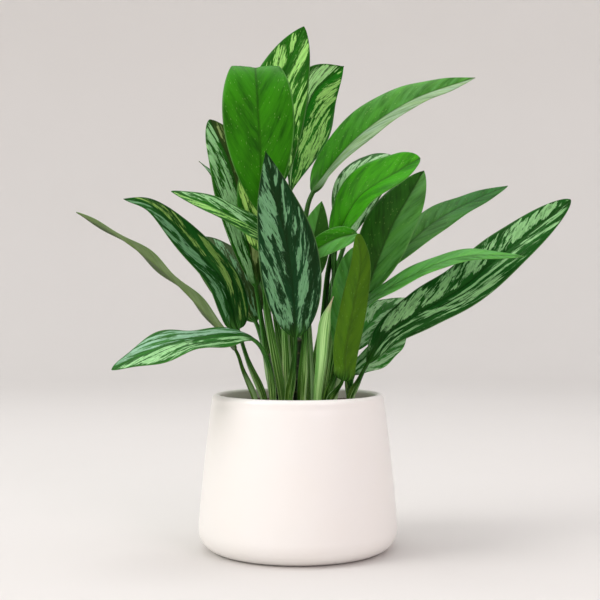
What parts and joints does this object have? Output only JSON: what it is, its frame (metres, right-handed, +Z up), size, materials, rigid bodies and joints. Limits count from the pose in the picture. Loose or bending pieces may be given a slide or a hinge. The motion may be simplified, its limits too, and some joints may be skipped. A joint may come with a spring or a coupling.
{
  "type": "potted chinese evergreen",
  "caption": "Leafy house plant with long-stalked, silver-striped and plain green blades, standing in soil in a tapered white ceramic pot.",
  "frame": {"origin": "middle of the pot's foot, on the surface that it stands on", "axes": "+Z up along the pot's axis, +X to the right and +Y away from someone who looks at the front"},
  "size_m": [0.413, 0.2354, 0.4602],
  "materials": {
    "ceramic": "satin",
    "soil": "rough",
    "cane": "satin",
    "variegated": "satin",
    "plain": "satin",
    "spear": "satin"
  },
  "bodies": {
    "root": {"pot": "ceramic", "soil": "soil", "cane_left": "cane", "cane_centre": "cane", "cane_right": "cane", "leaf_tall_back": "variegated", "leaf_back_right": "variegated", "leaf_broad": "plain", "leaf_arching_right": "plain", "leaf_left_back": "variegated", "leaf_left_small": "variegated", "leaf_left_arching": "variegated", "leaf_far_left": "plain", "leaf_low_left": "variegated", "leaf_front": "variegated", "leaf_bright_right": "plain", "leaf_behind_right": "variegated", "leaf_two_tone": "plain", "leaf_pointing_right": "plain", "leaf_thin_right": "plain", "leaf_long_right": "variegated", "leaf_low_back_right": "variegated", "leaf_low_right": "variegated", "leaf_olive": "plain", "leaf_behind_olive": "plain", "leaf_small_centre": "plain", "leaf_small_forward": "plain", "leaf_brown_left": "variegated", "leaf_far_back_left": "variegated", "leaf_behind_broad": "variegated", "leaf_back_far_right": "variegated", "new_leaf": "spear"}
  },
  "joints": []
}
